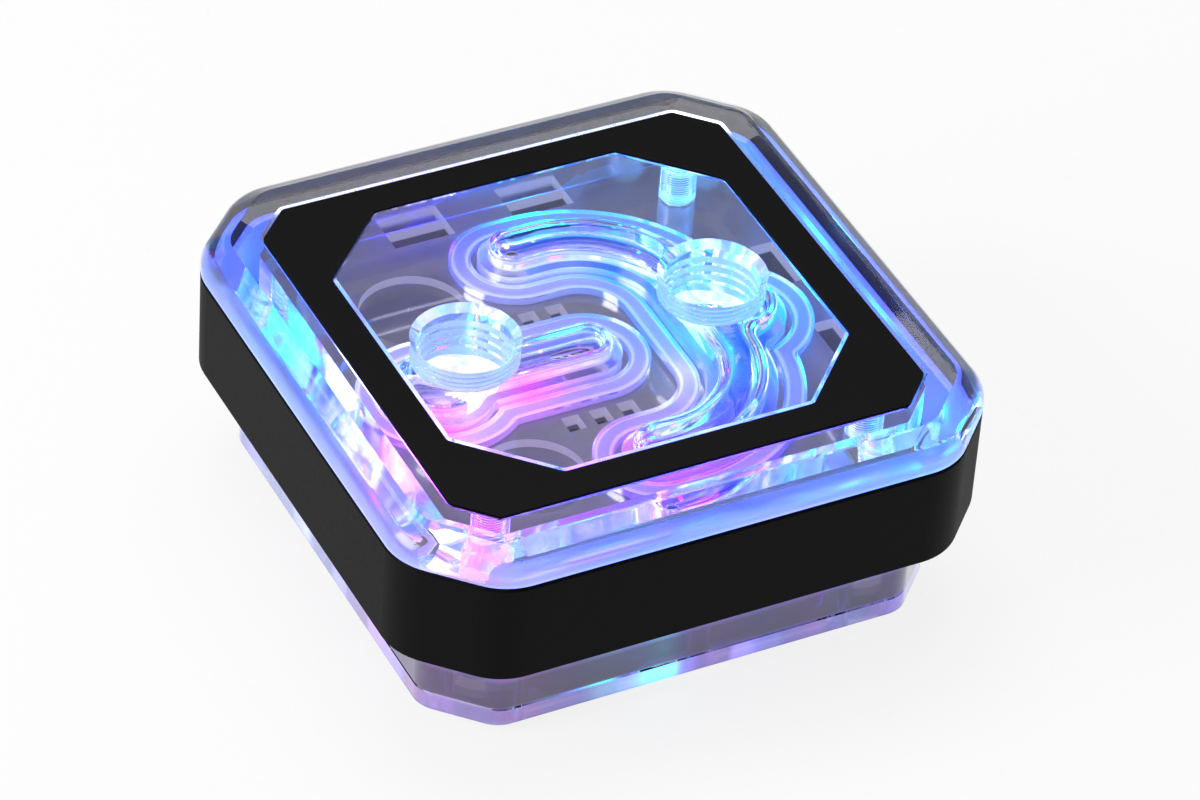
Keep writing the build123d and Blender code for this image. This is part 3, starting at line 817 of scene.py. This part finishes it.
def encloses(outline, x, y):
    """Whether a place in plan is inside an outline."""
    inside = False
    for a, b in ring_of(outline):
        crosses = (a.y > y) != (b.y > y)
        if crosses and x < a.x + (y - a.y) / (b.y - a.y) * (b.x - a.x):
            inside = not inside
    return inside


def channel_floor_cutters():
    """Shallow cutters over the floors of the two channels, from the channels' outlines in the cover."""
    cover = merged_copy("cover")
    outlines = flat_outlines(cover, bottom("cover"))
    cover.free()
    cutters = []
    for number, (x, y) in enumerate(PORTS):
        outline = min((outline for outline in outlines if encloses(outline, x, y)), key=enclosed_area)
        mesh = bmesh.new()
        rows = [[mesh.verts.new((*point, z)) for point in outline] for z in CHANNEL_FLOOR]
        join_rows(mesh, rows)
        for row in rows:
            mesh.faces.new(row)
        bmesh.ops.recalc_face_normals(mesh, faces=mesh.faces)
        cutters.append(new_object(f"channel_floor_{number}", mesh, []))
    return cutters


def cut_with(mesh, cutters):
    """The mesh less all the cutters, with the cutters' materials on the cut faces."""
    blank = new_object("uncut", mesh, [acrylic])
    for cutter in cutters:
        cut = blank.modifiers.new(cutter.name, "BOOLEAN")
        cut.operation = "DIFFERENCE"
        cut.solver = "EXACT"
        cut.material_mode = "TRANSFER"
        cut.object = cutter
    evaluated = blank.evaluated_get(bpy.context.evaluated_depsgraph_get())
    result = bmesh.new()
    result.from_mesh(evaluated.to_mesh())
    evaluated.to_mesh_clear()
    for used in (blank, *cutters):
        bpy.data.objects.remove(used)
    return result


def moved_in(outline, inset):
    """The outline's points moved into the material by an even inset."""
    moved = []
    for before, point, after in zip(outline[-1:] + outline, outline, outline[1:] + outline[:1]):
        first = (point - before).normalized()
        second = (after - point).normalized()
        side = Vector((-first.y - second.y, first.x + second.x)).normalized()
        mitre = max(side.dot(Vector((-first.y, first.x))), MITRE_LIMIT)
        moved.append(point + side * inset / mitre)
    return moved


def rounded_band(node, low_radius, high_radius, steps):
    """A flat ring made again from a CAD node's outlines, with rounded edges and air at its faces."""
    source = merged_copy(node)
    outlines = flat_outlines(source, top(node))
    source.free()
    low, high = bottom(node) + HAIR, top(node) - HAIR
    quarter = [math.radians(90 * step / steps) for step in range(steps + 1)]
    section = [(low_radius * (1 - math.sin(a)), low + low_radius * (1 - math.cos(a))) for a in quarter]
    section += [(high_radius * (1 - math.cos(a)), high - high_radius * (1 - math.sin(a))) for a in quarter]
    mesh = bmesh.new()
    flat_edges = ([], [])
    for outline in outlines:
        rows = [[mesh.verts.new((*point, z)) for point in moved_in(outline, inset)] for inset, z in section]
        join_rows(mesh, rows)
        for edges, row in zip(flat_edges, (rows[0], rows[-1])):
            edges += [mesh.edges.get(pair) for pair in ring_of(row)]
    for edges in flat_edges:
        bmesh.ops.triangle_fill(mesh, use_beauty=True, edges=edges, normal=(0, 0, 1))
    bmesh.ops.recalc_face_normals(mesh, faces=mesh.faces)
    return mesh


def break_edges(mesh, height, beyond, width):
    """Bevels the edges at a height and further out than a reach."""
    edges = []
    for edge in mesh.edges:
        level = level_with(edge.verts, height, NEAR_HEIGHT)
        outer = all(cut_square_reach(point.co) > beyond for point in edge.verts)
        if level and outer and edge.calc_face_angle() > OUTLINE_ANGLE:
            edges.append(edge)
    bmesh.ops.bevel(
        mesh, geom=edges, offset=width, segments=1, affect="EDGES", profile=0.5, loop_slide=False
    )


# Faces told apart

def above(value):
    """The range of all values over one."""
    return value, math.inf


def below(value):
    """The range of all values under one."""
    return -math.inf, value


def faces(tilt=None, height=None, reach=None, axes=((0, 0),), away=None):
    """A test of a face by ranges of its tilt and, in mm, of its height, reach and distance from axes."""
    def chosen(face):
        middle = face.calc_center_median()
        nearest = min(math.dist(middle.xy, axis) for axis in axes)
        values = (face.normal.z, middle.z / MM, cut_square_reach(middle) / MM, nearest / MM)
        limits = (tilt, height, reach, away)
        return all(span is None or span[0] < value < span[1] for value, span in zip(values, limits))
    return chosen


def paint(mesh, materials, finishes):
    """Gives each face the last finish whose test it meets, and returns the materials with these finishes."""
    for index, (_, chosen) in enumerate(finishes, len(materials)):
        for face in mesh.faces:
            if chosen(face):
                face.material_index = index
    return materials + [finish for finish, _ in finishes]


# Pieces

def build_cover():
    """The clear cover with its threads cut and its milled faces told apart."""
    cutters = [thread_cutter(f"port_cutter_{i}", x, y, **PORT_THREAD) for i, (x, y) in enumerate(PORTS)]
    cutters += [thread_cutter(f"post_cutter_{i}", x, y, **POST_THREAD) for i, (x, y) in enumerate(POSTS)]
    contacts = [(top("side_ring"), 1), (bottom("frame_plate"), -1)]
    mesh = cut_with(eased(merged_copy("cover"), contacts), cutters)
    finishes = [
        (side_clear, faces(tilt=UPRIGHT, height=below(26.2), reach=above(30.8))),
        (under_clear, faces(tilt=FACING_DOWN, height=(26.2, 26.5))),
        (edge_acrylic, faces(tilt=(0.3, 0.9), height=above(30.6), reach=(25.5, 31))),
        (band_acrylic, faces(tilt=FACING_DOWN, height=(16, 17.3))),
        (wall_acrylic, faces(tilt=UPRIGHT, height=below(17.1), reach=below(30.5))),
        (post_acrylic, faces(height=below(29), axes=POSTS, away=below(2.4))),
        (roof_acrylic, faces(tilt=below(-0.1), height=(17.3, 23.5), reach=below(30))),
        (bore_acrylic, faces(tilt=UPRIGHT, height=(23, 30.1), axes=PORTS, away=(5.62, 5.82))),
        (throat_acrylic, faces(tilt=(-0.95, 0.95), height=(17, 24.3), axes=PORTS, away=below(5.7))),
        (mouth_acrylic, faces(tilt=below(0.95), height=(30.1, 30.99), axes=PORTS, away=below(6.7))),
        (rim_line, faces(tilt=(-0.9, -0.4), height=(26.3, 26.7))),
        (shoulder_clear, faces(tilt=below(0.8), height=above(26.6), reach=above(36.2))),
    ]
    materials = paint(mesh, [acrylic, thread_acrylic], finishes)
    new_piece("clear_cover", mesh, materials, "cover")


def build_base():
    """The clear base with its milled top and pockets told apart."""
    contacts = [
        (top("base_plate"), -1),
        (bottom("cold_plate_seal"), 1),
        (top("jet_plate"), 1),
        (SCREW_SEAT, 1),
    ]
    mesh = cut_with(eased(merged_copy("base_plate"), contacts), channel_floor_cutters())
    inside = below(BASE_OUTSIDE)
    finishes = [
        (base_top, faces(tilt=FACING_UP, height=above(13.9))),
        (base_pocket, faces(tilt=FACING_UP, height=(8.9, 13.9), reach=inside)),
        (base_wall, faces(tilt=UPRIGHT, height=above(8.9), reach=inside)),
        (base_side, faces(tilt=UPRIGHT, reach=above(BASE_OUTSIDE))),
        (base_relief, faces(tilt=FACING_UP, height=(12.5, 13.5), reach=inside)),
        (channel_floor, faces(tilt=FACING_UP, height=(13.9, 13.95))),
    ]
    materials = paint(mesh, [base_acrylic], finishes)
    new_piece("clear_base", mesh, materials, "base_plate")


def build_retainer():
    """The clear retaining plate with its upper edge broken."""
    height = top("retainer_plate")
    mesh = eased(merged_copy("retainer_plate"), [(height, -1)])
    bmesh.ops.dissolve_limit(mesh, angle_limit=FLAT_ANGLE, verts=mesh.verts, edges=mesh.edges)
    break_edges(mesh, height, FLAT_SIDES, BROKEN_EDGE)
    finishes = [(retainer_side, faces(tilt=UPRIGHT, reach=above(BASE_OUTSIDE)))]
    materials = paint(mesh, [base_acrylic], finishes)
    new_piece("clear_retainer", mesh, materials, "retainer_plate")


def build_gasket(node):
    """A soft gasket with rounded edges."""
    mesh = rounded_band(node, low_radius=0.5 * MM, high_radius=0.8 * MM, steps=5)
    new_piece(node + "_soft", mesh, [gasket_soft], node)


def build_frame():
    """The black frame with its edges broken."""
    mesh = rounded_band("frame_plate", low_radius=0.05 * MM, high_radius=0.15 * MM, steps=2)
    new_piece("black_frame_plate", mesh, [frame_black], "frame_plate")


def dress(node, material):
    """Gives a CAD node that stays a finished material."""
    data = nodes[node].data
    for index in range(len(data.materials)):
        data.materials[index] = material


build_cover()
build_base()
build_retainer()
build_frame()
build_gasket("inlet_gasket")
build_gasket("outlet_gasket")
dress("side_ring", ring_black)
dress("cold_plate", nickel)
dress("jet_plate", steel)
dress("cover_screws", steel)
dress("retainer_screws", steel)
dress("cold_plate_seal", seal_black)
dress("light_strip", strip_white)
dress("light_emitters", emitter_white)
dress("light_header", header_white)


# Studio

def build_camera():
    """Camera at the photograph's angle."""
    data = bpy.data.cameras.new("camera")
    data.lens = CAMERA_LENS
    data.sensor_width = CAMERA_WIDTH
    data.sensor_fit = "HORIZONTAL"
    camera = bpy.data.objects.new("camera", data)
    camera.location = CAMERA_PLACE
    camera.rotation_euler = [math.radians(angle) for angle in CAMERA_TURN]
    bpy.context.collection.objects.link(camera)
    bpy.context.scene.camera = camera


def seen_directly(tree):
    """1 on rays from the camera, off gloss and through glass, 0 on those that carry light."""
    path = add_node(tree, "ShaderNodeLightPath").outputs
    direct = maths(tree, "MAXIMUM", path["Is Camera Ray"], path["Is Glossy Ray"])
    return maths(tree, "MAXIMUM", direct, path["Is Transmission Ray"])


def build_world():
    """White backdrop around the horizon under a dim ceiling."""
    world = bpy.data.worlds.new("studio")
    world.use_nodes = True
    tree = world.node_tree
    tree.nodes.clear()
    direction = add_node(tree, "ShaderNodeTexCoord").outputs["Generated"]
    stops = zip(BACKDROP_FADE, ((1, 1, 1), CEILING_COLOUR))
    colour = colour_ramp(tree, upward(tree, direction), list(stops))
    light = add_node(tree, "ShaderNodeBackground", {"Color": colour, "Strength": 1.0})
    add_node(tree, "ShaderNodeOutputWorld", {"Surface": light.outputs["Background"]})
    bpy.context.scene.world = world


def floor_white():
    """White seen from the camera, with a faint shadow, and plain matt for light that bounces."""
    material = bpy.data.materials.new("floor_white")
    material.use_nodes = True
    tree = material.node_tree
    tree.nodes.clear()
    matt = add_node(tree, "ShaderNodeBsdfDiffuse", {"Color": (*FLOOR_COLOUR, 1)})
    white = add_node(tree, "ShaderNodeEmission", {"Color": (1, 1, 1, 1), "Strength": 1.0})
    share = maths(tree, "MULTIPLY", seen_directly(tree), FLOOR_WHITENESS)
    inputs = {"Fac": share, 1: matt.outputs["BSDF"], 2: white.outputs["Emission"]}
    mix = add_node(tree, "ShaderNodeMixShader", inputs)
    add_node(tree, "ShaderNodeOutputMaterial", {"Surface": mix.outputs["Shader"]})
    return material


def build_floor():
    """Plain floor under the block."""
    mesh = bmesh.new()
    bmesh.ops.create_grid(mesh, x_segments=1, y_segments=1, size=FLOOR_SIZE)
    new_object("floor", mesh, [floor_white()])


def soft_box(name, place, size, power):
    """A square soft light that faces the block's middle."""
    data = bpy.data.lights.new(name, "AREA")
    data.shape = "SQUARE"
    data.size = size
    data.energy = power
    light = bpy.data.objects.new(name, data)
    light.location = place
    direction = Vector(BLOCK_MIDDLE) - Vector(place)
    light.rotation_euler = direction.to_track_quat("-Z", "Y").to_euler()
    bpy.context.collection.objects.link(light)


build_camera()
build_world()
build_floor()
for box in SOFT_BOXES:
    soft_box(*box)

scene = bpy.context.scene
scene.view_settings.view_transform = "Standard"
scene.cycles.max_bounces = CLEAR_BOUNCES
scene.cycles.transmission_bounces = CLEAR_BOUNCES
scene.cycles.glossy_bounces = GLOSSY_BOUNCES
